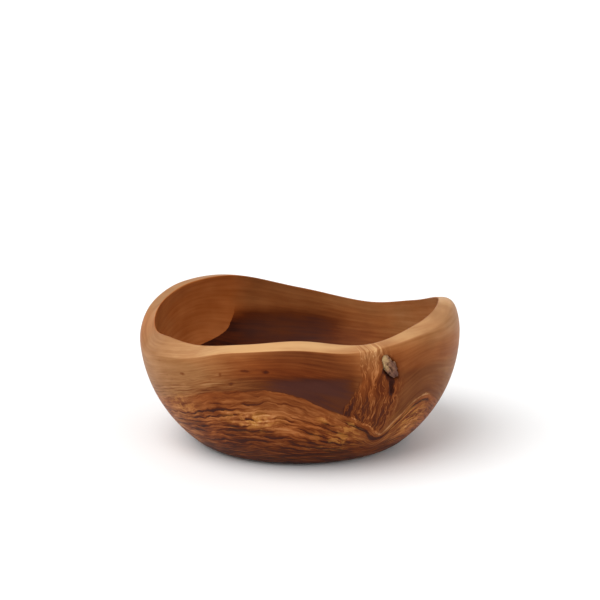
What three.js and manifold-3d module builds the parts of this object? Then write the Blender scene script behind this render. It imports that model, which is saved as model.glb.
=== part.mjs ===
// Hand-carved wooden yarn bowl with a waving rim, and the bark-filled knot in its wall.
// Millimetres, +Z up. The origin is the centre of the flat base, on the surface that the
// bowl stands on. Azimuths are in degrees, anticlockwise seen from above, with 0 on +X.

import * as THREE from 'three';
import { mergeVertices } from 'three/addons/utils/BufferGeometryUtils.js';
import Module from 'manifold-3d';

const wasm = await Module();
wasm.setup();

// ---------------------------------------------------------------- driving dimensions

// Outer wall: two elliptical arcs that meet at the belly, where the bowl is widest.
const BOWL_RADIUS = 80;
const BELLY_HEIGHT = 56;
const ARC_DEPTH = 75; // radial half-axis of both arcs
const ARC_BELOW = 70; // vertical half-axis under the belly
const ARC_ABOVE = 51; // vertical half-axis over the belly

// Foot: a flat disc that curves up into the wall.
const FOOT_RADIUS = 43;
const FOOT_HEIGHT = 4; // where the curve meets the wall

// Hollow: parallel to the outer wall above the belly, and a full oval under it.
const UPPER_WALL = 7.3; // wall thickness at the belly and above
const FLOOR_HEIGHT = 10; // thickness of the bottom
const HOLLOW_FULLNESS = 0.85; // 1 is an ellipse, and less is fuller at the corner

// Rim, as [azimuth, size] points of closed waves, at its crests, dips and shoulders.
// RIM_WAVE is the height of the inner edge. BEVEL_FALL is how far the bevel on top of the rim
// falls from there to the outer edge. BEVEL_EASE is how far the outer edge is rounded off.
const RIM_WAVE = [
  [10, 69.5], [35, 62], [60, 57], [90, 63], [120, 72], [145, 72], [165, 68], [195, 60],
  [212, 60.5], [230, 60.5], [250, 63.5], [270, 66], [295, 63], [320, 68], [350, 72],
];
const BEVEL_FALL = [
  [0, 0], [40, 2], [100, 1.5], [145, 0], [165, 2], [180, 6.5],
  [205, 9.5], [225, 6.5], [245, 2.5], [280, 3], [300, 1], [330, 3],
];
const BEVEL_EASE = [
  [0, 4.5], [30, 2.5], [150, 2], [205, 3.5], [230, 3], [245, 1.5], [285, 1.5], [300, 3], [330, 4.5],
];

// Bark pocket: an oval hole in the outer wall, and the bark that fills it.
const BARK_AZIMUTH = 301.4;
const BARK_HEIGHT = 53.2;
const BARK_HALF_WIDTH = 3.4;
const BARK_HALF_LENGTH = 7;
const BARK_DEPTH = 5;
const BARK_LEAN = 38; // degrees from upright, with the top towards the bowl's front
const BARK_RECESS = 0.4; // the bark's face lies this far below the wood
const BARK_GAP = 0.3; // clearance all round the bark

// Mesh fineness
const AZIMUTH_STEPS = 72;
const FOOT_STEPS = 4;
const WALL_STEPS = 12;
const EASE_STEPS = 3;
const HOLLOW_NECK_STEPS = 2;
const HOLLOW_STEPS = 12;

// ---------------------------------------------------------------- section of the bowl

const radians = THREE.MathUtils.degToRad;

/** Value of a smooth closed wave through [azimuth, value] points. */
function waveAt(points, azimuth) {
  const count = points.length;
  const point = (index) => {
    const turns = Math.floor(index / count);
    const [angle, value] = points[index - turns * count];
    return [angle + 360 * turns, value];
  };
  const slope = (index) => {
    const [before, after] = [point(index - 1), point(index + 1)];
    return (after[1] - before[1]) / (after[0] - before[0]);
  };
  let index = count - 1;
  while (point(index)[0] > azimuth) index -= 1;
  const [start, end] = [point(index), point(index + 1)];
  const span = end[0] - start[0];
  const t = (azimuth - start[0]) / span;
  const blend = t * t * (3 - 2 * t);
  return THREE.MathUtils.lerp(start[1], end[1], blend)
    + slope(index) * span * t * (1 - t) ** 2
    - slope(index + 1) * span * (1 - t) * t ** 2;
}

/** Radius of the outer wall at a height. */
function wallRadius(height) {
  const halfAxis = height < BELLY_HEIGHT ? ARC_BELOW : ARC_ABOVE;
  const offset = (height - BELLY_HEIGHT) / halfAxis;
  return BOWL_RADIUS - ARC_DEPTH + ARC_DEPTH * Math.sqrt(1 - offset ** 2);
}

/** How fast the lower arc's radius grows with height. */
function wallFlare(height) {
  const offset = (BELLY_HEIGHT - height) / ARC_BELOW;
  return (ARC_DEPTH * offset) / (ARC_BELOW * Math.sqrt(1 - offset ** 2));
}

/** A point of the outer wall, as (radius, height). */
function wallPoint(height) {
  return new THREE.Vector2(wallRadius(height), height);
}

/** Points that round a corner off, from a point before it to a point after it. */
function easedCorner(before, corner, after, steps) {
  return new THREE.QuadraticBezierCurve(before, corner, after).getPoints(steps);
}

/** Section at one azimuth, as (radius, height), from the base up the wall and down to the floor. */
function section(azimuth) {
  const rim = waveAt(RIM_WAVE, azimuth);
  const ease = waveAt(BEVEL_EASE, azimuth);

  const base = new THREE.Vector2(FOOT_RADIUS, 0);
  const wallFoot = wallPoint(FOOT_HEIGHT);
  const footCorner = new THREE.Vector2(wallFoot.x - wallFlare(FOOT_HEIGHT) * FOOT_HEIGHT, 0);
  const foot = easedCorner(base, footCorner, wallFoot, FOOT_STEPS);

  const innerEdge = new THREE.Vector2(wallRadius(rim) - UPPER_WALL, rim);
  const outerEdge = wallPoint(rim - waveAt(BEVEL_FALL, azimuth));
  const wallTop = wallPoint(outerEdge.y - ease);
  const bevelWidth = outerEdge.distanceTo(innerEdge);
  const bevelStart = outerEdge.clone().lerp(innerEdge, ease / bevelWidth);
  const brow = easedCorner(wallTop, outerEdge, bevelStart, EASE_STEPS);

  const wall = [];
  for (let i = 1; i < WALL_STEPS; i += 1) {
    wall.push(wallPoint(THREE.MathUtils.lerp(FOOT_HEIGHT, wallTop.y, i / WALL_STEPS)));
  }

  const neck = [];
  for (let i = 0; i < HOLLOW_NECK_STEPS; i += 1) {
    const height = THREE.MathUtils.lerp(rim, BELLY_HEIGHT, i / HOLLOW_NECK_STEPS);
    neck.push(new THREE.Vector2(wallRadius(height) - UPPER_WALL, height));
  }
  return [...foot, ...wall, ...brow, ...neck, ...hollowOval()];
}

/** The hollow under the belly, as (radius, height), nearly as far as the floor's centre. */
function hollowOval() {
  const points = [];
  for (let i = 0; i < HOLLOW_STEPS; i += 1) {
    const turn = (Math.PI / 2) * (i / HOLLOW_STEPS);
    const across = Math.cos(turn) ** HOLLOW_FULLNESS;
    const down = Math.sin(turn) ** HOLLOW_FULLNESS;
    const radius = (BOWL_RADIUS - UPPER_WALL) * across;
    points.push(new THREE.Vector2(radius, BELLY_HEIGHT - (BELLY_HEIGHT - FLOOR_HEIGHT) * down));
  }
  return points;
}

// ---------------------------------------------------------------- geometry

/** Closed body from rings of equal length, with one point on the axis at each end. */
function ringedBody(rings, bottom, top) {
  const positions = [...bottom.toArray(), ...top.toArray()];
  for (const ring of rings) {
    for (const point of ring) positions.push(...point.toArray());
  }
  const around = rings[0].length;
  const last = rings.length - 1;
  const at = (ring, step) => 2 + ring * around + (step % around);
  const triangles = [];
  for (let step = 0; step < around; step += 1) {
    triangles.push(0, at(0, step + 1), at(0, step));
    for (let ring = 0; ring < last; ring += 1) {
      const [a, b] = [at(ring, step), at(ring, step + 1)];
      const [c, d] = [at(ring + 1, step), at(ring + 1, step + 1)];
      triangles.push(a, b, d, a, d, c);
    }
    triangles.push(1, at(last, step), at(last, step + 1));
  }
  const geometry = new THREE.BufferGeometry();
  geometry.setAttribute('position', new THREE.Float32BufferAttribute(positions, 3));
  geometry.setIndex(triangles);
  return geometry;
}

/** The bowl before its pocket is cut: the section changes with the rim as it goes round. */
function plainBowl() {
  const azimuths = Array.from({ length: AZIMUTH_STEPS }, (_, i) => (360 * i) / AZIMUTH_STEPS);
  const sections = azimuths.map(section);
  const rings = sections[0].map((_, k) => sections.map((points, i) => {
    const { x: radius, y: height } = points[k];
    const angle = radians(azimuths[i]);
    return new THREE.Vector3(radius * Math.cos(angle), radius * Math.sin(angle), height);
  }));
  return ringedBody(rings, new THREE.Vector3(), new THREE.Vector3(0, 0, FLOOR_HEIGHT));
}

/** An oval lens let into the outer wall at the bark's place, smaller all round by a margin. */
function ovalInWall(margin) {
  const oval = new THREE.SphereGeometry(1, 28, 14);
  oval.scale(BARK_HALF_WIDTH - margin, BARK_HALF_LENGTH - margin, BARK_DEPTH - margin);
  const azimuth = radians(BARK_AZIMUTH);
  const outward = new THREE.Vector3(Math.cos(azimuth), Math.sin(azimuth), 0);
  const place = new THREE.Object3D();
  place.up.set(0, 0, 1);
  place.lookAt(outward);
  place.rotateZ(radians(BARK_LEAN));
  place.position.copy(outward).multiplyScalar(wallRadius(BARK_HEIGHT)).setZ(BARK_HEIGHT);
  place.updateMatrix();
  return oval.applyMatrix4(place.matrix);
}

/** A disc as tall as the oval, whose edge lies deeper than the outer wall by the bark's recess. */
function insideOfWall() {
  const bottom = BARK_HEIGHT - BARK_HALF_LENGTH;
  const top = BARK_HEIGHT + BARK_HALF_LENGTH;
  const outline = [new THREE.Vector2(0, bottom)];
  for (let i = 0; i <= WALL_STEPS; i += 1) {
    const point = wallPoint(THREE.MathUtils.lerp(bottom, top, i / WALL_STEPS));
    outline.push(new THREE.Vector2(point.x - BARK_RECESS, point.y));
  }
  outline.push(new THREE.Vector2(0, top));
  return new THREE.LatheGeometry(outline, AZIMUTH_STEPS).rotateX(Math.PI / 2);
}

/** three.js geometry as a manifold-3d solid. */
function toSolid(geometry) {
  geometry.deleteAttribute('normal');
  geometry.deleteAttribute('uv');
  const merged = mergeVertices(geometry);
  return new wasm.Manifold(new wasm.Mesh({
    numProp: 3,
    vertProperties: merged.attributes.position.array,
    triVerts: new Uint32Array(merged.index.array),
  }));
}

/** manifold-3d solid as three.js geometry. */
function toGeometry(solid) {
  const mesh = solid.getMesh();
  const geometry = new THREE.BufferGeometry();
  geometry.setAttribute('position', new THREE.BufferAttribute(mesh.vertProperties, 3));
  geometry.setIndex(new THREE.BufferAttribute(mesh.triVerts, 1));
  geometry.computeVertexNormals();
  return geometry;
}

// ---------------------------------------------------------------- named pieces

const wood = new THREE.MeshStandardMaterial({ color: 0x8f5428, roughness: 0.42, metalness: 0 });
const bark = new THREE.MeshStandardMaterial({ color: 0x7a6654, roughness: 0.9, metalness: 0 });

function bowlBody() {
  const bowl = toSolid(plainBowl()).subtract(toSolid(ovalInWall(0)));
  const mesh = new THREE.Mesh(toGeometry(bowl), wood);
  mesh.name = 'bowl_body';
  return mesh;
}

function barkInclusion() {
  const plug = toSolid(ovalInWall(BARK_GAP)).intersect(toSolid(insideOfWall()));
  const mesh = new THREE.Mesh(toGeometry(plug), bark);
  mesh.name = 'bark_inclusion';
  return mesh;
}

const yarnBowl = new THREE.Group();
yarnBowl.name = 'yarn_bowl';
yarnBowl.add(bowlBody(), barkInclusion());

export default yarnBowl;
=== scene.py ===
import math
import bpy
import numpy as np
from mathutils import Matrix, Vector, noise


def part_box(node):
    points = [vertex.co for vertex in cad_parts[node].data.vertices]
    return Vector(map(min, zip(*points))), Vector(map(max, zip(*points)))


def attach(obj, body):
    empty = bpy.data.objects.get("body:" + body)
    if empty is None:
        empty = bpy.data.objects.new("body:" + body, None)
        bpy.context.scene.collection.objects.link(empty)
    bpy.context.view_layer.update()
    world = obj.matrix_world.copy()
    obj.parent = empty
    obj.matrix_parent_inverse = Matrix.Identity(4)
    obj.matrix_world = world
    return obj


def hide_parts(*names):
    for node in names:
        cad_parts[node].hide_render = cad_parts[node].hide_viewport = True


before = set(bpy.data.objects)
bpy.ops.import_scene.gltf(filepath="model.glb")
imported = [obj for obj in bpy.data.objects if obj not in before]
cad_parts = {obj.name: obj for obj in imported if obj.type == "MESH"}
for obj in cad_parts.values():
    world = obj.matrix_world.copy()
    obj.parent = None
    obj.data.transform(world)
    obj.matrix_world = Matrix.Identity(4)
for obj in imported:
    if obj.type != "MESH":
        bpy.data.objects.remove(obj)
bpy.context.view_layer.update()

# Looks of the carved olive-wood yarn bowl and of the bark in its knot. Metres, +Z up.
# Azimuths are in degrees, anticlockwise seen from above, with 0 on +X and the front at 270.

bowl_low, bowl_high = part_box("bowl_body")

# ---------------------------------------------------------------- driving dimensions

BOWL_RADIUS = (bowl_high.x - bowl_low.x) / 2
BELLY_HEIGHT = 0.056
ARC_DEPTH = 0.075
ARC_BELOW = 0.070
ARC_ABOVE = 0.051
FOOT_RADIUS = 0.043
FOOT_HEIGHT = 0.004
UPPER_WALL = 0.0073
FLOOR_HEIGHT = 0.010
HOLLOW_FULLNESS = 0.85
INNER_EASE = 0.0008      # rounding of the rim's inner edge

# The rim, as (azimuth, size) points of closed waves at its crests, dips and shoulders: the
# height of its inner edge, how far the bevel falls from there to the outer edge, and how far
# the outer edge is rounded off.
RIM_WAVE = [
    (10, 0.0695), (35, 0.062), (60, 0.057), (90, 0.063), (120, 0.072), (145, 0.072),
    (165, 0.068), (195, 0.060), (212, 0.0605), (230, 0.0605), (250, 0.0635), (270, 0.066),
    (295, 0.063), (320, 0.068), (350, 0.072),
]
BEVEL_FALL = [
    (0, 0), (40, 0.002), (100, 0.0015), (145, 0), (165, 0.002), (180, 0.0065),
    (205, 0.0095), (225, 0.0065), (245, 0.0025), (280, 0.003), (300, 0.001), (330, 0.003),
]
BEVEL_EASE = [
    (0, 0.0045), (30, 0.0025), (150, 0.002), (205, 0.0035), (230, 0.003), (245, 0.0015),
    (285, 0.0015), (300, 0.003), (330, 0.0045),
]

# The knot's pocket, and the crack that runs down from it.
BARK_AZIMUTH = 301.4
BARK_HEIGHT = 0.0532
BARK_HALF_WIDTH = 0.0034
BARK_HALF_LENGTH = 0.0070
BARK_LEAN = math.radians(38)
POCKET_DEPTH = 0.0026
CRACK = [(299.5, 0.052), (302, 0.047), (303, 0.0405)]     # (azimuth, height)
CRACK_HALF_WIDTH = 0.0014
CRACK_DEPTH = 0.0014

# ---------------------------------------------------------------- figure of the wood

# The wood is told apart by closed waves of (azimuth, value). Tones run from 0, pale sapwood,
# to 1, near-black heartwood. The figured wood lies under FIGURE_WAVE, a height.
FIGURE_LEVEL = 0.034
FIGURE_WAVE = [
    (0, 0.022), (50, 0.032), (80, 0.030), (115, 0.024), (150, 0.035), (190, 0.027), (225, 0.036),
    (240, 0.041), (260, 0.044), (272, 0.040), (285, 0.031), (296, 0.023), (304, 0.017),
    (309, 0.024), (315, 0.032), (321, 0.034), (330, 0.030), (342, 0.024),
]
INNER_FIGURE_WAVE = [
    (0, 0.023), (45, 0.029), (90, 0.026), (118, 0.0255), (140, 0.033), (185, 0.028), (230, 0.035),
    (262, 0.039), (298, 0.029), (330, 0.026),
]
# How sharp the edge of the figured wood is, from 0, faded over a few millimetres, to 1.
FIGURE_EDGE = [
    (0, 0.15), (60, 0.2), (100, 0.6), (135, 0.5), (175, 0.1), (215, 0.1), (240, 0.6), (255, 1.0),
    (320, 1.0), (340, 0.5),
]

# The pale line and the dark line that follow the figured wood's edge, square to it, on both
# sides of its low point under the knot.
PALE_OVER = 0.0006
DARK_UNDER = 0.0020
LINES_FROM, LINES_TO = 287, 325

# Tones of the wall over the figure, each at a height. The heartwood's dark block lies between
# azimuths 260 and 290, beside the column, and the wall pales from there to its left and right.
UPPER_TONES = [
    (0.036, [(0, 0.35), (60, 0.6), (90, 0.75), (115, 0.8), (140, 0.5), (170, 0.4), (200, 0.35),
             (225, 0.45), (240, 0.6), (252, 0.75), (265, 0.9), (290, 0.9), (300, 0.7), (325, 0.65),
             (345, 0.4)]),
    (0.048, [(0, 0.3), (60, 0.5), (90, 0.6), (115, 0.65), (140, 0.45), (170, 0.4), (200, 0.25),
             (240, 0.5), (252, 0.7), (264, 1.0), (284, 1.0), (291, 0.65), (315, 0.7), (330, 0.55),
             (345, 0.4)]),
    (0.052, [(0, 0.3), (75, 0.45), (110, 0.5), (140, 0.4), (200, 0.3), (225, 0.4), (240, 0.45),
             (250, 0.6), (262, 0.75), (276, 0.8), (286, 0.75), (293, 0.5), (302, 0.6), (325, 0.55),
             (345, 0.35)]),
    (0.062, [(0, 0.2), (45, 0.4), (110, 0.45), (200, 0.3), (230, 0.35), (250, 0.5), (262, 0.65),
             (276, 0.7), (286, 0.5), (292, 0.3), (302, 0.45), (328, 0.35), (345, 0.25)]),
]

# Tones in the figure, each at a share of the way from the foot up to FIGURE_WAVE. Low down they grow
# darker towards the foot, partly the dark figure and partly painted shade where the wall turns under.
LOWER_TONES = [
    (0.1, [(0, 0.8), (90, 0.85), (180, 0.8), (270, 0.85), (310, 0.75)]),
    (0.4, [(0, 0.55), (60, 0.65), (120, 0.7), (170, 0.55), (205, 0.4), (222, 0.5), (240, 0.75),
           (270, 0.7), (287, 0.85), (302, 0.7), (316, 0.55), (335, 0.5)]),
    (0.7, [(0, 0.4), (120, 0.55), (170, 0.4), (205, 0.4), (222, 0.5), (238, 0.55), (254, 0.4),
           (272, 0.5), (290, 0.65), (302, 0.55), (330, 0.6)]),
    (0.95, [(0, 0.4), (120, 0.55), (170, 0.4), (205, 0.4), (240, 0.6), (290, 0.55), (330, 0.55)]),
]
# How strongly the growth lines show over the figured wood.
UPPER_LINES = [
    (0, 0.35), (45, 0.3), (80, 0.15), (120, 0.2), (170, 0.35), (205, 0.25), (240, 0.4), (252, 0.25),
    (265, 0.05), (320, 0.05), (340, 0.2),
]
# Tone of the bevel on top of the rim: paler wood, and partly painted light from above where it faces up.
BEVEL_TONE_AND_LIGHT = [
    (0, 0.1), (60, 0.2), (120, 0.2), (170, 0.25), (200, 0.35), (230, 0.15), (250, 0), (275, 0.05),
    (290, 0.15), (300, 0.2), (310, 0.15), (322, 0.15), (335, 0.2),
]

# How red the middle of the wall is over the figure.
RED_BAND = [
    (0, 0.5), (180, 0.5), (205, 0.1), (235, 0.1), (255, 0.55), (300, 0.5), (325, 0.35), (345, 0.45),
]

# Patches of painted sheen on the curl, pale and golden: azimuth, height, half-widths of both, and
# strength.
CURL_SHEEN_PATCHES = [
    (253, 0.028, 8, 0.004, 1.0), (222, 0.030, 8, 0.006, 0.5), (286, 0.018, 9, 0.006, 0.65),
    (280, 0.030, 3, 0.002, 0.9), (288, 0.025, 3, 0.002, 0.9), (317, 0.022, 9, 0.008, 0.95),
    (20, 0.018, 12, 0.006, 0.8), (62, 0.024, 10, 0.005, 0.7), (150, 0.022, 12, 0.006, 0.8),
    (96, 0.014, 9, 0.004, 0.7),
]

# Small dark flecks in the pale sapwood: azimuth, height, half-widths of both, and strength.
FLECKS = [
    (227, 0.047, 1.5, 0.001, 1.0), (231, 0.045, 2.5, 0.0006, 0.6), (243, 0.050, 1, 0.0015, 0.8),
    (239, 0.047, 2, 0.0006, 0.5), (218, 0.044, 1.5, 0.001, 0.5), (214, 0.050, 2.5, 0.0006, 0.4),
    (252, 0.053, 2.5, 0.001, 0.8), (259, 0.053, 1.5, 0.001, 1.0), (247, 0.046, 1.5, 0.0015, 0.7),
    (333, 0.050, 2, 0.0008, 0.5), (22, 0.048, 2, 0.001, 0.8), (38, 0.044, 2.5, 0.0008, 0.6),
    (161, 0.050, 2, 0.001, 0.7), (176, 0.044, 1.5, 0.001, 0.8), (189, 0.053, 2, 0.0008, 0.5),
]

# The sides of the feathered column under the knot, and the sharp left side of the dark
# heartwood at the back, as (height, azimuth) points.
COLUMN_LEFT = [(0.017, 303), (0.028, 288), (0.033, 285), (0.042, 289), (0.054, 290), (0.070, 292)]
COLUMN_RIGHT = [(0.017, 305), (0.025, 309), (0.045, 309), (0.055, 305), (0.072, 299)]
DARK_SIDE = [(0.020, 155), (0.035, 150), (0.039, 130), (0.045, 122), (0.060, 118)]

# ---------------------------------------------------------------- curves and small helpers


def curve(places, values, place):
    """A smooth curve through points, read at an array of places.

    The first and last points only steer it, and it holds its value past its ends.
    """
    slopes = (values[2:] - values[:-2]) / (places[2:] - places[:-2])
    places, values = places[1:-1], values[1:-1]
    start = np.clip(np.searchsorted(places, place, side="right") - 1, 0, len(places) - 2)
    span = places[start + 1] - places[start]
    t = np.clip((place - places[start]) / span, 0, 1)
    blend = t * t * (3 - 2 * t)
    straight = values[start] * (1 - blend) + values[start + 1] * blend
    return straight + span * t * (1 - t) * (slopes[start] * (1 - t) - slopes[start + 1] * t)


def wave(points, azimuth):
    """A smooth closed curve through (azimuth, value) points, read at an array of azimuths."""
    angles, values = np.array(points, float).T
    angles = np.concatenate([angles[-2:] - 360, angles, angles[:2] + 360])
    values = np.concatenate([values[-2:], values, values[:2]])
    return curve(angles, values, azimuth)


def ease(low, high, value):
    """0 below low, 1 above high, and a smooth step between them."""
    t = np.clip((value - low) / (high - low), 0, 1)
    return t * t * (3 - 2 * t)


def mix(a, b, amount):
    return a + (b - a) * amount


def arc(degrees):
    """Metres along the bowl's widest circle."""
    return np.radians(degrees) * BOWL_RADIUS


def azimuth_of(points):
    return np.degrees(np.arctan2(points[:, 1], points[:, 0])) % 360


def add_attribute(mesh, name, first, second, third):
    """Store three values at each point of a mesh, for a shader to read."""
    values = np.stack(np.broadcast_arrays(first, second, third), axis=-1).astype(np.float32)
    mesh.attributes.new(name, "FLOAT_VECTOR", "POINT").data.foreach_set("vector", values.ravel())


def layered(layers, azimuth, level):
    """Blend closed waves that each hold at one level, lowest first."""
    value = wave(layers[0][1], azimuth)
    for (low, _), (high, points) in zip(layers, layers[1:]):
        value = mix(value, wave(points, azimuth), ease(low, high, level))
    return value


def side(points, height):
    """Azimuth of a side given as (height, azimuth) points, read at an array of heights."""
    points = np.array(points)
    before = 2 * points[0] - points[1]
    after = 2 * points[-1] - points[-2]
    heights, azimuths = np.array([before, *points, after]).T
    return curve(heights, azimuths, height)


def wall_radius(height):
    """Radius of the outer wall at a height."""
    offset = (height - BELLY_HEIGHT) / np.where(height < BELLY_HEIGHT, ARC_BELOW, ARC_ABOVE)
    return BOWL_RADIUS - ARC_DEPTH + ARC_DEPTH * np.sqrt(1 - offset ** 2)


def wall_point(height):
    """A point of the outer wall, as (radius, height)."""
    return np.stack([wall_radius(height), height])


def corner_points(before, corner, after, steps):
    """Points that round a corner off, without the first one."""
    points = []
    for i in range(1, steps + 1):
        t = i / steps
        points.append((1 - t) ** 2 * before + 2 * t * (1 - t) * corner + t * t * after)
    return points


def straight_points(start, end, steps):
    """Points along a line, without the first one."""
    return [mix(start, end, i / steps) for i in range(1, steps + 1)]


# ---------------------------------------------------------------- the bowl's surface

FINE_FROM, FINE_TO = 289, 315     # azimuths of the knot, where the mesh is finer
BASE_ROWS = 10
BASE_START = 0.006                # radius of the base's smallest ring
FOOT_STEPS = 8
LOWER_ROWS, UPPER_ROWS = 30, 54
UPPER_FROM = 0.034                # height over which the wall's rows are closer together
BROW_STEPS = 8
BEVEL_ROWS = 6
INNER_CORNER_STEPS = 4
NECK_ROWS = 12
HOLLOW_ROWS = 60

# Places about the bevel: the wall, the outer edge's rounding from -0.5 to 0.5, the bevel and
# the inner edge's rounding, and the inside.
ON_WALL = -0.5
BEVEL_FROM, BEVEL_TO = 0.6, 2
INSIDE_FROM = 1.5
INSIDE = 3.0


def bowl_azimuths():
    coarse_left = np.arange(0, FINE_FROM, 1.0)
    fine = np.arange(FINE_FROM, FINE_TO, 0.3)
    coarse_right = np.arange(FINE_TO, 360, 1.0)
    return np.concatenate([coarse_left, fine, coarse_right])


def bowl_section(azimuth):
    """Rings of (radius, height) at every azimuth, from the base up the wall and down to the floor.

    Also gives each ring's place about the bevel, from ON_WALL to INSIDE.
    """
    ground = np.zeros_like(azimuth)
    rim = wave(RIM_WAVE, azimuth)

    base_radii = np.linspace(BASE_START, FOOT_RADIUS, BASE_ROWS)
    base = [np.stack([ground + radius, ground]) for radius in base_radii]

    wall_foot = wall_point(ground + FOOT_HEIGHT)
    offset = (BELLY_HEIGHT - FOOT_HEIGHT) / ARC_BELOW
    flare = ARC_DEPTH * offset / (ARC_BELOW * math.sqrt(1 - offset ** 2))
    foot_corner = np.stack([wall_foot[0] - flare * FOOT_HEIGHT, ground])
    foot = corner_points(base[-1], foot_corner, wall_foot, FOOT_STEPS)

    bevel_ease = wave(BEVEL_EASE, azimuth)
    inner_edge = np.stack([wall_radius(rim) - UPPER_WALL, rim])
    outer_edge = wall_point(rim - wave(BEVEL_FALL, azimuth))
    wall_top = wall_point(outer_edge[1] - bevel_ease)
    bevel_width = np.hypot(*(outer_edge - inner_edge))
    bevel_start = mix(outer_edge, inner_edge, bevel_ease / bevel_width)
    bevel_end = mix(inner_edge, outer_edge, INNER_EASE / bevel_width)
    neck_top = np.stack([wall_radius(rim - INNER_EASE) - UPPER_WALL, rim - INNER_EASE])

    wall = []
    for i in range(1, LOWER_ROWS + 1):
        wall.append(wall_point(mix(ground + FOOT_HEIGHT, UPPER_FROM, i / LOWER_ROWS)))
    for i in range(1, UPPER_ROWS + 1):
        wall.append(wall_point(mix(UPPER_FROM, wall_top[1], i / UPPER_ROWS)))
    brow = corner_points(wall_top, outer_edge, bevel_start, BROW_STEPS)
    bevel = straight_points(bevel_start, bevel_end, BEVEL_ROWS)
    inner_corner = corner_points(bevel_end, inner_edge, neck_top, INNER_CORNER_STEPS)

    neck = []
    for i in range(1, NECK_ROWS + 1):
        height = mix(neck_top[1], BELLY_HEIGHT, i / NECK_ROWS)
        neck.append(np.stack([wall_radius(height) - UPPER_WALL, height]))

    hollow = []
    for turn in np.linspace(0, math.pi / 2, HOLLOW_ROWS + 2)[1:-1]:
        across = math.cos(turn) ** HOLLOW_FULLNESS
        down = math.sin(turn) ** HOLLOW_FULLNESS
        height = mix(BELLY_HEIGHT, FLOOR_HEIGHT, down)
        hollow.append(np.stack([ground + (BOWL_RADIUS - UPPER_WALL) * across, ground + height]))

    outside = base + foot + wall
    inside = neck + hollow
    rings = np.array(outside + brow + bevel + inner_corner + inside)
    wall_place = np.full(len(outside), ON_WALL)
    brow_place = np.linspace(0, 1, BROW_STEPS + 1)[1:] + ON_WALL
    bevel_place = np.linspace(BEVEL_FROM, BEVEL_TO, len(bevel) + len(inner_corner))
    inside_place = np.full(len(inside), INSIDE)
    return rings, np.concatenate([wall_place, brow_place, bevel_place, inside_place])


def bowl_mesh():
    """The bowl as one closed mesh, with the place of its points about the bevel."""
    azimuth = bowl_azimuths()
    rings, ring_place = bowl_section(azimuth)
    angle = np.radians(azimuth)
    ring_count, around = rings.shape[0], len(azimuth)
    points = np.stack(
        [rings[:, 0] * np.cos(angle), rings[:, 0] * np.sin(angle), rings[:, 1]], axis=-1
    ).reshape(-1, 3)
    poles = np.array([[0, 0, 0], [0, 0, FLOOR_HEIGHT]])
    points = np.concatenate([points, poles])

    ring, step = np.meshgrid(np.arange(ring_count - 1), np.arange(around), indexing="ij")
    here, there = ring * around + step, ring * around + (step + 1) % around
    quads = np.stack([here, there, there + around, here + around], axis=-1).reshape(-1, 4)
    bottom, top = len(points) - 2, len(points) - 1
    last = (ring_count - 1) * around
    fans = [(bottom, (a + 1) % around, a) for a in range(around)]
    fans += [(top, last + a, last + (a + 1) % around) for a in range(around)]

    mesh = bpy.data.meshes.new("bowl")
    mesh.from_pydata(points.tolist(), [], quads.tolist() + fans)
    mesh.shade_smooth()
    place = np.concatenate([np.repeat(ring_place, around), ring_place[[0, -1]]])
    return mesh, points, place


def knot_plane(points):
    """Where points of the outer wall lie on the knot: metres across its oval, and along it."""
    azimuth = azimuth_of(points)
    right = np.radians(azimuth - BARK_AZIMUTH) * BOWL_RADIUS
    up = points[:, 2] - BARK_HEIGHT
    across = right * math.cos(BARK_LEAN) + up * math.sin(BARK_LEAN)
    along = up * math.cos(BARK_LEAN) - right * math.sin(BARK_LEAN)
    return across, along


def wall_normal(azimuth, height):
    """Outward normal of the outer wall, at arrays of azimuths and heights."""
    step = 0.0002
    slope = (wall_radius(height + step) - wall_radius(height - step)) / (2 * step)
    angle = np.radians(azimuth)
    normal = np.stack([np.cos(angle), np.sin(angle), -slope], axis=-1)
    return normal / np.linalg.norm(normal, axis=-1, keepdims=True)


def oval_distance(across, along):
    """Metres outside the knot's oval, about, and below 0 within it."""
    return (np.hypot(across / BARK_HALF_WIDTH, along / BARK_HALF_LENGTH) - 1) * BARK_HALF_WIDTH


def crack_distance(azimuth, height):
    """Metres outside the crack under the knot, which narrows as it runs down."""
    place = np.stack([arc(azimuth - BARK_AZIMUTH), height], axis=-1)
    corners = [np.array([arc(a - BARK_AZIMUTH), h]) for a, h in CRACK]
    nearest = np.full(azimuth.shape, 1.0)
    for i, (start, end) in enumerate(zip(corners, corners[1:])):
        share = np.clip((place - start) @ (end - start) / ((end - start) @ (end - start)), 0, 1)
        away = np.linalg.norm(place - start - share[..., None] * (end - start), axis=-1)
        half_width = CRACK_HALF_WIDTH * np.sqrt(1 - (i + share) / len(corners))
        nearest = np.minimum(nearest, away - half_width)
    return nearest


def carve_knot(points, place):
    """Sink into the wall the knot's pocket, with a slit at its lower left, and the crack."""
    azimuth = azimuth_of(points)
    height = points[:, 2]
    normal = wall_normal(azimuth, np.clip(height, 0.0005, 0.09))
    near = (place < 0) & (np.abs(azimuth - BARK_AZIMUTH) < 9) & (height > 0.033)
    across, along = knot_plane(points[near])
    ragged = np.array([noise.noise(Vector(point) * 700) for point in points[near]]) * 0.0005
    slit = ease(-0.5, -1.2, across / BARK_HALF_WIDTH + along / BARK_HALF_LENGTH) * 0.0009
    pocket = POCKET_DEPTH * ease(-0.0001, -0.0007, oval_distance(across, along) + ragged * 0.4 - slit)
    crack = crack_distance(azimuth[near], height[near]) + ragged * 0.6
    crack = CRACK_DEPTH * ease(0.0004, -0.0005, crack)
    points[near] -= normal[near] * np.maximum(pocket, crack)[:, None]


# ---------------------------------------------------------------- bark in the knot

BARK_GAP = 0.0003
BARK_THICKNESS = 0.0034
BARK_RINGS = 24
BARK_AROUND = 80


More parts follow.
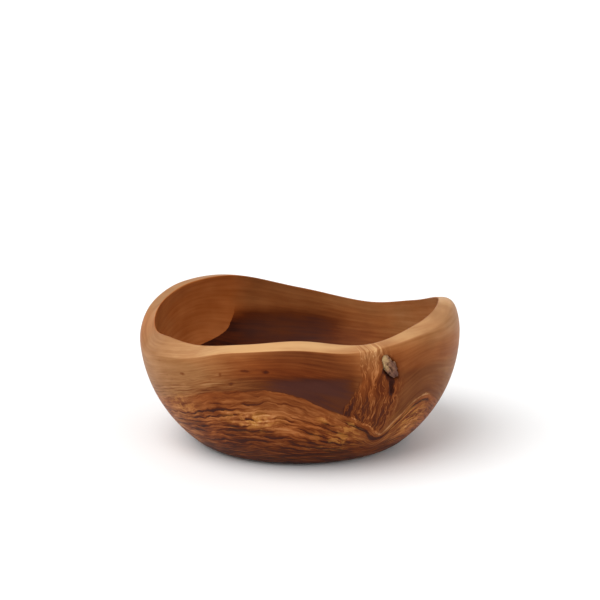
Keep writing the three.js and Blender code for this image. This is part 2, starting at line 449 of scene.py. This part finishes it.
def bark_relief(across, along, share):
    """How proud the bark's face stands of the wall: ridges along it, fissures and pits."""
    relief = np.zeros_like(across)
    for i, (u, v) in enumerate(zip(across, along)):
        ridges = noise.noise(Vector((u * 620, v * 190, 3.1)))
        lumps = noise.noise(Vector((u * 330, v * 260, 8.4)))
        pits = max(0, noise.noise(Vector((u * 900, v * 620, 5.7))) - 0.12)
        grit = noise.noise(Vector((u * 2600, v * 2000, 1.3)))
        relief[i] = 0.0008 * ridges + 0.0007 * lumps - 0.0034 * pits + 0.00022 * grit
    return -0.0002 + relief - 0.0003 * ease(0.8, 1.0, share)


def bark_mesh():
    """A lumpy oval plug of bark, laid on the wall's curve in the knot's own axes."""
    turn = np.linspace(0, 2 * math.pi, BARK_AROUND, endpoint=False)
    edge = np.array([1 + 0.10 * noise.noise(Vector((math.cos(a) * 2.6, math.sin(a) * 2.6, 2.2)))
                     for a in turn])
    half_width = (BARK_HALF_WIDTH - BARK_GAP) * edge
    half_length = (BARK_HALF_LENGTH - BARK_GAP) * edge

    rings = []
    for i in range(1, BARK_RINGS + 1):
        share = i / BARK_RINGS
        across = half_width * np.sin(turn) * share
        along = half_length * np.cos(turn) * share
        rings.append((across, along, bark_relief(across, along, share)))
    rings.append((rings[-1][0] * 0.96, rings[-1][1] * 0.96, np.full(BARK_AROUND, -BARK_THICKNESS)))
    middle = np.zeros(1)
    poles = [(middle, middle, bark_relief(middle, middle, 0)), (middle, middle, middle - BARK_THICKNESS)]

    across, along, proud = (np.concatenate(part) for part in zip(*rings, *poles))
    right = across * math.cos(BARK_LEAN) - along * math.sin(BARK_LEAN)
    height = BARK_HEIGHT + across * math.sin(BARK_LEAN) + along * math.cos(BARK_LEAN)
    azimuth = BARK_AZIMUTH + np.degrees(right / BOWL_RADIUS)
    radius, angle = wall_radius(height), np.radians(azimuth)
    wall = np.stack([radius * np.cos(angle), radius * np.sin(angle), height], axis=-1)
    points = wall + wall_normal(azimuth, height) * proud[:, None]

    top, bottom = len(points) - 2, len(points) - 1
    last = BARK_RINGS * BARK_AROUND
    faces = []
    for a in range(BARK_AROUND):
        b = (a + 1) % BARK_AROUND
        faces.append((top, b, a))
        faces.append((bottom, last + a, last + b))
        for start in range(0, last, BARK_AROUND):
            faces.append((start + a, start + b, start + BARK_AROUND + b, start + BARK_AROUND + a))
    mesh = bpy.data.meshes.new("bark")
    mesh.from_pydata(points.tolist(), [], faces)
    mesh.shade_smooth()
    add_attribute(mesh, "bark", across, along, proud)
    return mesh


# ---------------------------------------------------------------- attributes that place the figure


def over_wave(points, azimuth, height):
    """Metres that points of the wall lie over a closed wave of heights, square to it."""
    step = 0.5
    slope = (wave(points, (azimuth + step) % 360) - wave(points, (azimuth - step) % 360)) / arc(2 * step)
    return (height - wave(points, azimuth)) / np.sqrt(1 + slope ** 2)


def spots(patches, azimuth, height):
    """The sum of soft round patches on the wall."""
    total = np.zeros_like(azimuth)
    for patch_azimuth, patch_height, half_width, half_height, strength in patches:
        turn = (azimuth - patch_azimuth + 180) % 360 - 180
        reach = (turn / half_width) ** 2 + ((height - patch_height) / half_height) ** 2
        total += strength * np.exp(-reach)
    return total


def place_figure(mesh, points, place):
    """Store on the mesh where each kind of wood lies, for the shader to draw it in detail."""
    azimuth = azimuth_of(points)
    height = points[:, 2]
    radius = np.hypot(points[:, 0], points[:, 1])
    inside = place > INSIDE_FROM
    middle = 1 - ease(0.018, 0.045, radius)

    outer_top, inner_top = wave(FIGURE_WAVE, azimuth), wave(INNER_FIGURE_WAVE, azimuth)
    figure_top = mix(np.where(inside, inner_top, outer_top), FIGURE_LEVEL, middle)
    brow = wave(RIM_WAVE, azimuth) - wave(BEVEL_FALL, azimuth)
    lower_share = height / figure_top
    upper_share = (height - figure_top) / (brow - figure_top)

    # The grain runs along X. Depth counts its layers, which are level with the figure's edge.
    level = np.where(lower_share < 1, lower_share, 1 + upper_share * 0.9) * FIGURE_LEVEL
    ground = np.where(inside, FLOOR_HEIGHT, 0)
    spread = mix(0.24, 0.05, ease(0.0, 0.012, height - ground))
    depth = level - spread * np.hypot(points[:, 1], 0.01)
    along = points[:, 0] * mix(1.0, 0.5, 1 - ease(0.030, 0.060, radius))
    add_attribute(mesh, "grain", along, points[:, 1], depth)

    # Tones over the figured wood, in it, and where the dark heartwood lies at the back.
    upper = layered(UPPER_TONES, azimuth, height)
    # The bevel's paler tone is partly painted light from above.
    upper = mix(upper, wave(BEVEL_TONE_AND_LIGHT, azimuth), ease(-0.06, 0.12, place) * ~inside)
    floor_share = mix(lower_share, 0.62, np.where(inside, 1 - ease(0.016, 0.030, height), 0))
    lower = mix(layered(LOWER_TONES, azimuth, floor_share), 0.72, middle)
    dark = ease(62, 86, azimuth) * ease(165, 150, azimuth) * ease(0.056, 0.043, height)

    # Metres from the edges of the figured wood, of the dark heartwood and of the column.
    boundary = over_wave(FIGURE_WAVE, azimuth, height)
    boundary = np.where(inside, over_wave(INNER_FIGURE_WAVE, azimuth, height), boundary)
    boundary = mix(boundary, height - figure_top, middle)
    dark_side = arc(side(DARK_SIDE, height) - azimuth)
    column = np.where(inside, -0.01, arc(azimuth - side(COLUMN_LEFT, height)))
    add_attribute(mesh, "edges", boundary, dark_side, column)

    # Patches of painted curl sheen, flecks, the lines along the figure's edge, and how red the wood is.
    curl_sheen = spots(CURL_SHEEN_PATCHES, azimuth, height)
    flecks = spots(FLECKS, azimuth, height) * ~inside
    reach = ease(LINES_FROM - 3, LINES_FROM + 3, azimuth) * ease(LINES_TO + 3, LINES_TO - 3, azimuth)
    add_attribute(mesh, "seams", boundary - PALE_OVER, boundary + DARK_UNDER, reach * ~inside)
    red_side = ease(108, 124, azimuth) * ease(215, 180, azimuth)
    red_band = ease(0.047, 0.052, height) * ease(0.066, 0.058, height)
    pale_side = ease(180, 200, azimuth) * ease(250, 215, azimuth)
    outer_red = 0.05 + wave(RED_BAND, azimuth) * red_band - 0.22 * pale_side
    red = np.where(inside, mix(0.4, 1.0, red_side), outer_red)
    upper = mix(upper, 0.30, red_side * inside)
    add_attribute(mesh, "figure", curl_sheen, wave(FIGURE_EDGE, azimuth), red)
    add_attribute(mesh, "tones", upper, lower, dark)

    # The knot, the crack, and how the column ends at its right side.
    oval = np.where(inside, 1, oval_distance(*knot_plane(points)))
    crack = np.where(inside, 1, crack_distance(azimuth, height))
    column_end = ease(0, 0.009, arc(side(COLUMN_RIGHT, height) - azimuth))
    column_end *= mix(1.0, 0.5, ease(0.2, 1.6, place))
    add_attribute(mesh, "knot", oval, crack, 0)
    add_attribute(mesh, "strand", arc(azimuth), height, 0)
    upper_lines = np.where(inside, 0.08, wave(UPPER_LINES, azimuth))
    add_attribute(mesh, "veins", upper_lines, flecks, column_end)


# ---------------------------------------------------------------- materials


class Shading:
    """One node material, with short calls that add nodes to it and give their output sockets."""

    def __init__(self, name):
        self.material = bpy.data.materials.new(name)
        self.material.use_nodes = True
        self.tree = self.material.node_tree
        self.surface = self.tree.nodes["Principled BSDF"]

    def feed(self, socket, value):
        if isinstance(value, bpy.types.NodeSocket):
            self.tree.links.new(value, socket)
        else:
            socket.default_value = value

    def math(self, operation, first, second=0.0):
        node = self.tree.nodes.new("ShaderNodeMath")
        node.operation = operation
        self.feed(node.inputs[0], first)
        self.feed(node.inputs[1], second)
        return node.outputs[0]

    def add(self, first, second):
        return self.math("ADD", first, second)

    def times(self, first, second):
        return self.math("MULTIPLY", first, second)

    def attribute(self, name):
        node = self.tree.nodes.new("ShaderNodeAttribute")
        node.attribute_name = name
        return node.outputs["Vector"]

    def parts(self, vector):
        node = self.tree.nodes.new("ShaderNodeSeparateXYZ")
        self.feed(node.inputs[0], vector)
        return node.outputs

    def join(self, x, y, z):
        node = self.tree.nodes.new("ShaderNodeCombineXYZ")
        for socket, value in zip(node.inputs, (x, y, z)):
            self.feed(socket, value)
        return node.outputs[0]

    def stretched(self, vector, scales):
        node = self.tree.nodes.new("ShaderNodeVectorMath")
        node.operation = "MULTIPLY"
        self.feed(node.inputs[0], vector)
        node.inputs[1].default_value = scales
        return node.outputs[0]

    def noise(self, vector, scales, detail=2.0, distortion=0.0):
        """Noise about 0, whose cells are 1 / scales metres long."""
        node = self.tree.nodes.new("ShaderNodeTexNoise")
        self.feed(node.inputs["Vector"], self.stretched(vector, scales))
        node.inputs["Scale"].default_value = 1
        node.inputs["Detail"].default_value = detail
        node.inputs["Distortion"].default_value = distortion
        return self.math("SUBTRACT", node.outputs["Fac"], 0.5)

    def step(self, value, low, high, start=0.0, end=1.0):
        """A smooth step from start below low to end above high."""
        node = self.tree.nodes.new("ShaderNodeMapRange")
        node.interpolation_type = "SMOOTHSTEP"
        self.feed(node.inputs["Value"], value)
        node.inputs["From Min"].default_value = low
        node.inputs["From Max"].default_value = high
        node.inputs["To Min"].default_value = start
        node.inputs["To Max"].default_value = end
        return node.outputs[0]

    def blend(self, first, second, amount):
        node = self.tree.nodes.new("ShaderNodeMix")
        self.feed(node.inputs[0], amount)
        self.feed(node.inputs[2], first)
        self.feed(node.inputs[3], second)
        return node.outputs[0]

    def blend_colours(self, first, second, amount):
        node = self.tree.nodes.new("ShaderNodeMix")
        node.data_type = "RGBA"
        self.feed(node.inputs[0], amount)
        self.feed(node.inputs[6], first)
        self.feed(node.inputs[7], second)
        return node.outputs[2]

    def ramp(self, value, stops):
        """A colour or grey read from (place, colour) stops."""
        node = self.tree.nodes.new("ShaderNodeValToRGB")
        self.feed(node.inputs[0], value)
        while len(node.color_ramp.elements) < len(stops):
            node.color_ramp.elements.new(0.5)
        for element, (place, colour) in zip(node.color_ramp.elements, stops):
            element.position = place
            element.color = (*colour, 1)
        return node.outputs[0]

    def bump(self, height, distance, strength):
        node = self.tree.nodes.new("ShaderNodeBump")
        node.inputs["Strength"].default_value = strength
        node.inputs["Distance"].default_value = distance
        self.feed(node.inputs["Height"], height)
        return node.outputs[0]


OCHRE_WOOD = [
    (0.0, (0.52, 0.30, 0.135)), (0.2, (0.36, 0.178, 0.076)), (0.4, (0.25, 0.108, 0.038)),
    (0.6, (0.163, 0.053, 0.015)), (0.8, (0.092, 0.024, 0.006)), (1.0, (0.060, 0.019, 0.013)),
]
RED_WOOD = [
    (0.0, (0.54, 0.27, 0.10)), (0.2, (0.41, 0.130, 0.034)), (0.4, (0.29, 0.074, 0.014)),
    (0.6, (0.18, 0.040, 0.007)), (0.8, (0.090, 0.016, 0.003)), (1.0, (0.026, 0.005, 0.002)),
]


def grey(value):
    return (value, value, value)


LINE_SPACING = 0.0023                     # between growth lines, along the depth of the wood
# Golden colour of the painted sheen on the curl.
SHEEN_GOLD = (0.44, 0.20, 0.036, 1)
HEARTWOOD_TONE = 0.93


def growth_lines(wood, grain, boundary, above, upper_lines):
    """Dark growth lines and the flames between them, with the wavy grain that they follow.

    The lines are sharp underneath and fade upward, and they are wavy and of many strengths.
    """
    x, y, depth = wood.parts(grain)
    drift = wood.noise(grain, (38, 38, 60), 2)
    jag = wood.noise(grain, (170, 170, 150), 3)
    curl = wood.blend(1.0, 0.45, above)
    bent = wood.add(wood.times(drift, 0.006), wood.times(jag, 0.0028))
    bent = wood.add(depth, wood.times(bent, curl))
    bent_grain = wood.join(x, y, bent)
    line = wood.math("FRACT", wood.times(bent, 1 / LINE_SPACING))
    line = wood.ramp(line, [(0, grey(1)), (0.12, grey(0.8)), (0.30, grey(0.3)), (0.60, grey(0.05)),
                            (0.88, grey(0)), (1.0, grey(1))])
    line_strength = wood.noise(bent_grain, (55, 55, 330), 2)
    line_strength = wood.step(line_strength, -0.08, 0.16)
    open_figure = wood.step(boundary, 0.0, -0.013, 0.35, 1.0)
    fading = wood.step(boundary, 0.014, 0.001)
    figured = wood.blend(open_figure, wood.times(upper_lines, wood.add(0.25, fading)), above)
    lines = wood.times(wood.times(line, line_strength), wood.times(figured, 0.62))
    flame = wood.noise(bent_grain, (110, 110, 900), 5, 0.6)
    flame = wood.times(flame, wood.times(figured, 1.55))
    return lines, flame, bent_grain


def feathered_column(wood, strand, upper, column, column_end, above):
    """The column under the knot: pale squiggly strands on red brown.

    Gives its tone, how far a point lies in it, and how near to its top.
    """
    turn, height, _ = wood.parts(strand)
    sway = wood.times(wood.noise(strand, (120, 120, 0), 2), 0.006)
    swayed = wood.join(wood.add(turn, sway), height, 0.0)
    feather = wood.math("ABSOLUTE", wood.noise(swayed, (420, 75, 0), 3, 1.0))
    feather = wood.step(feather, 0.045, 0.0)
    plume = wood.noise(swayed, (300, 60, 0), 3, 0.8)
    shade = wood.step(height, 0.056, 0.044, 0.0, 0.17)
    column_top = wood.step(height, 0.052, 0.061)
    column_tone = wood.blend(upper, 0.50, wood.blend(0.45, 0.16, column_top))
    column_tone = wood.add(column_tone, wood.times(plume, 1.1))
    column_tone = wood.add(column_tone, wood.add(shade, wood.times(feather, -0.30)))
    feather_edge = wood.add(column, wood.times(wood.noise(strand, (330, 90, 0), 3), 0.009))
    in_column = wood.times(wood.step(feather_edge, -0.0008, 0.0012), wood.times(above, column_end))
    return column_tone, in_column, column_top


def seams(wood, strand, torn, ragged):
    """What the pale line and the dark line that meet under the column add to the tone."""
    pale_line, dark_line, line_reach = wood.parts(wood.attribute("seams"))
    jitter = wood.add(wood.times(torn, 0.7), wood.times(ragged, 0.0019))
    pale_line = wood.add(pale_line, jitter)
    pale = wood.times(wood.step(pale_line, -0.0008, -0.0002), wood.step(pale_line, 0.0007, 0.0002))
    pale = wood.times(pale, wood.step(wood.noise(strand, (200, 200, 0), 2), -0.16, 0.10, 0.35, 1.0))
    dark_line = wood.add(dark_line, jitter)
    shadow = wood.times(wood.step(dark_line, -0.0015, -0.0003), wood.step(dark_line, 0.0008, 0.0002))
    seam = wood.add(wood.times(pale, -0.42), wood.times(shadow, 0.46))
    return wood.times(seam, line_reach)


def knot_stain_and_crack_shade(wood, ragged):
    """What the darkened wood round the knot, and the dark in and along its crack, add to the tone; the
    crack's dark is partly painted shade.
    """
    oval, crack, _ = wood.parts(wood.attribute("knot"))
    halo = wood.step(wood.add(oval, wood.times(ragged, 0.004)), 0.0026, 0.0)
    # Painted shade, in part: the crack and a band along it are darkened.
    crack_dark_and_shade = wood.step(wood.add(crack, wood.times(ragged, 0.003)), 0.0018, 0.0)
    return wood.math("MAXIMUM", wood.times(halo, 0.08), wood.times(crack_dark_and_shade, 0.34))


def olive_wood():
    """Olive wood: figured with dark wavy lines low down, calm and streaked over them."""
    wood = Shading("olive_wood")
    grain = wood.attribute("grain")
    strand = wood.attribute("strand")
    upper, lower, dark = wood.parts(wood.attribute("tones"))
    boundary, dark_side, column = wood.parts(wood.attribute("edges"))
    curl_sheen, sharp, red = wood.parts(wood.attribute("figure"))
    upper_lines, flecks, column_end = wood.parts(wood.attribute("veins"))

    # How far above the figured wood, 0 or 1 but for a ragged edge.
    ragged = wood.noise(grain, (260, 260, 260), 3)
    torn = wood.times(wood.noise(grain, (110, 110, 300), 3), 0.0034)
    boundary = wood.add(boundary, wood.add(torn, wood.times(ragged, 0.0008)))
    sharpness = wood.add(220, wood.times(wood.times(sharp, sharp), 3000))
    above = wood.step(wood.times(boundary, sharpness), -1, 1)
    lines, flame, bent_grain = growth_lines(wood, grain, boundary, above, upper_lines)

    bands = wood.times(wood.noise(grain, (22, 22, 330), 3), wood.blend(0.08, 0.20, above))
    streaks = wood.add(wood.times(wood.noise(grain, (38, 38, 900), 5), 0.27), bands)
    mottle = wood.times(wood.noise(grain, (70, 70, 120), 3), wood.blend(0.30, 0.22, above))
    # Painted sheen on the curl: patches and a shimmer that lighten the tone.
    sheen_patch = wood.step(wood.noise(bent_grain, (190, 190, 480), 3, 0.6), -0.04, 0.10)
    shimmer = wood.step(wood.noise(strand, (620, 240, 0), 2, 0.8), 0.0, 0.16)
    shine = wood.times(wood.add(wood.times(sheen_patch, -0.34), wood.times(shimmer, -0.20)), curl_sheen)

    tone = wood.blend(wood.add(lower, shine), upper, above)
    dark_edge = wood.add(dark_side, wood.add(wood.times(ragged, 0.001), torn))
    dark_edge = wood.times(wood.step(dark_edge, -0.0003, 0.0004), above)
    tone = wood.blend(tone, HEARTWOOD_TONE, wood.times(dark_edge, dark))
    tone = wood.add(tone, wood.add(lines, flame))
    tone = wood.add(tone, wood.add(streaks, mottle))

    column_parts = feathered_column(wood, strand, upper, column, column_end, above)
    column_tone, in_column, column_top = column_parts
    tone = wood.blend(tone, column_tone, in_column)
    tone = wood.add(tone, seams(wood, strand, torn, ragged))
    tone = wood.add(tone, knot_stain_and_crack_shade(wood, ragged))
    fleck_shape = wood.step(wood.add(flecks, wood.times(ragged, 0.9)), 0.25, 0.75)
    tone = wood.add(tone, wood.times(wood.times(fleck_shape, flecks), 0.3))

    redness = wood.add(red, wood.blend(0.58, 0.0, above))
    redness = wood.blend(redness, wood.blend(0.6, 0.3, column_top), in_column)
    redness = wood.add(redness, wood.times(wood.noise(grain, (30, 30, 90), 2), 0.9))
    colour = wood.blend_colours(wood.ramp(tone, OCHRE_WOOD), wood.ramp(tone, RED_WOOD), redness)
    # The painted sheen on the curl turns the colour golden in its patches.
    colour = wood.blend_colours(colour, SHEEN_GOLD, wood.times(wood.times(sheen_patch, curl_sheen), 0.5))
    wood.feed(wood.surface.inputs["Base Color"], colour)
    roughness = wood.add(0.42, wood.times(wood.noise(grain, (60, 60, 900), 3), 0.22))
    wood.feed(wood.surface.inputs["Roughness"], roughness)
    wood.surface.inputs["Specular IOR Level"].default_value = 0.03
    relief = wood.add(wood.times(lines, -0.5), streaks)
    wood.feed(wood.surface.inputs["Normal"], wood.bump(relief, 0.0002, 0.5))
    return wood.material


def knot_bark():
    """Weathered bark: pale grey-green at its upper left, mauve brown lower down, with painted shade,
    near black, in its pits and round its sunken edge.
    """
    bark = Shading("knot_bark")
    place = bark.attribute("bark")
    across, along, proud = bark.parts(place)
    patches = bark.noise(place, (520, 300, 0), 3, 0.8)
    age = bark.add(bark.times(bark.add(along, bark.times(across, -0.9)), 70), bark.times(patches, 1.2))
    colour = bark.ramp(bark.add(age, 0.36), [
        (0.05, (0.11, 0.048, 0.033)), (0.35, (0.20, 0.096, 0.056)), (0.55, (0.29, 0.165, 0.080)),
        (0.85, (0.41, 0.280, 0.130)),
    ])
    speckle = bark.noise(place, (1300, 800, 0), 3)
    colour = bark.blend_colours(colour, (0.04, 0.022, 0.015, 1), bark.step(speckle, 0.08, 0.2, 0, 0.6))
    # Painted shade: the bark's pits and sunken edge darken to near black, the deeper the darker.
    hollow = bark.step(proud, -0.0008, -0.0022, 0, 0.9)
    colour = bark.blend_colours(colour, (0.03, 0.016, 0.011, 1), hollow)
    bark.feed(bark.surface.inputs["Base Color"], colour)
    bark.surface.inputs["Specular IOR Level"].default_value = 0.15
    bark.feed(bark.surface.inputs["Roughness"], bark.add(0.82, bark.times(speckle, 0.3)))
    bark.feed(bark.surface.inputs["Normal"], bark.bump(speckle, 0.0002, 0.7))
    return bark.material


# ---------------------------------------------------------------- stage, light and camera


def add_light(name, place, width, strength):
    """A far, wide and even light, whose size is the angle that it fills."""
    light = bpy.data.lights.new(name, "SUN")
    light.angle = math.radians(width)
    light.energy = strength
    lamp = bpy.data.objects.new(name, light)
    lamp.location = place
    lamp.rotation_euler = (-Vector(place)).to_track_quat("-Z", "Y").to_euler()
    bpy.context.scene.collection.objects.link(lamp)


def plain_material(name, colour, roughness):
    material = bpy.data.materials.new(name)
    material.use_nodes = True
    shader = material.node_tree.nodes["Principled BSDF"]
    shader.inputs["Base Color"].default_value = (*colour, 1)
    shader.inputs["Roughness"].default_value = roughness
    return material


FLOOR_RADIUS = 8.0
COVE_RADIUS = 2.4        # the floor curves up into a wall this high
COVE_STEPS = 16
STAGE_AROUND = 96


def stage_mesh():
    """A round floor that curves up into a wall, so that no horizon shows."""
    turn = np.linspace(0, 2 * math.pi, STAGE_AROUND, endpoint=False)
    points = [(0, 0, 0)]
    for bend in np.linspace(0, math.pi / 2, COVE_STEPS + 1):
        radius = FLOOR_RADIUS + COVE_RADIUS * math.sin(bend)
        height = COVE_RADIUS * (1 - math.cos(bend))
        points += [(radius * math.cos(angle), radius * math.sin(angle), height) for angle in turn]

    faces = []
    for a in range(STAGE_AROUND):
        b = (a + 1) % STAGE_AROUND
        faces.append((0, 1 + a, 1 + b))
        for start in range(1, 1 + COVE_STEPS * STAGE_AROUND, STAGE_AROUND):
            faces.append((start + a, start + STAGE_AROUND + a, start + STAGE_AROUND + b, start + b))
    mesh = bpy.data.meshes.new("floor")
    mesh.from_pydata(points, [], faces)
    mesh.shade_smooth()
    return mesh


def build_stage():
    mesh = stage_mesh()
    mesh.materials.append(plain_material("floor", (0.9, 0.9, 0.9), 0.7))
    floor = bpy.data.objects.new("floor", mesh)
    bpy.context.scene.collection.objects.link(floor)

    world = bpy.data.worlds.new("studio")
    world.use_nodes = True
    world.node_tree.nodes["Background"].inputs["Color"].default_value = (1, 1, 1, 1)
    world.node_tree.nodes["Background"].inputs["Strength"].default_value = 0.62
    bpy.context.scene.world = world

    add_light("key", place=(-0.55, -0.45, 0.91), width=60, strength=2.45)
    add_light("fill", place=(0.7, -0.9, 0.46), width=36, strength=0.65)


CAMERA_PLACE = (0.0002, -0.6951, 0.2107)
CAMERA_DIP = 11.42       # degrees that it looks down by
LENS_LENGTH = 85         # millimetres, as is the sensor's width
SENSOR_WIDTH = 36


def build_camera():
    """A long lens that looks down a little from the bowl's front."""
    camera_data = bpy.data.cameras.new("camera")
    camera_data.lens = LENS_LENGTH
    camera_data.sensor_width = SENSOR_WIDTH
    camera = bpy.data.objects.new("camera", camera_data)
    camera.location = CAMERA_PLACE
    camera.rotation_euler = (math.radians(90 - CAMERA_DIP), 0, 0)
    bpy.context.scene.collection.objects.link(camera)
    bpy.context.scene.camera = camera


# ---------------------------------------------------------------- assembly


def add_piece(name, mesh, material):
    mesh.materials.append(material)
    piece = bpy.data.objects.new(name, mesh)
    bpy.context.scene.collection.objects.link(piece)
    return piece


bpy.context.scene.view_settings.view_transform = "Standard"
build_stage()
build_camera()

mesh, points, place = bowl_mesh()
place_figure(mesh, points, place)
carve_knot(points, place)
mesh.vertices.foreach_set("co", points.ravel())
mesh.update()
bowl = add_piece("bowl", mesh, olive_wood())
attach(bowl, "root")
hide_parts("bowl_body")

bark = add_piece("bark", bark_mesh(), knot_bark())
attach(bark, "root")
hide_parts("bark_inclusion")
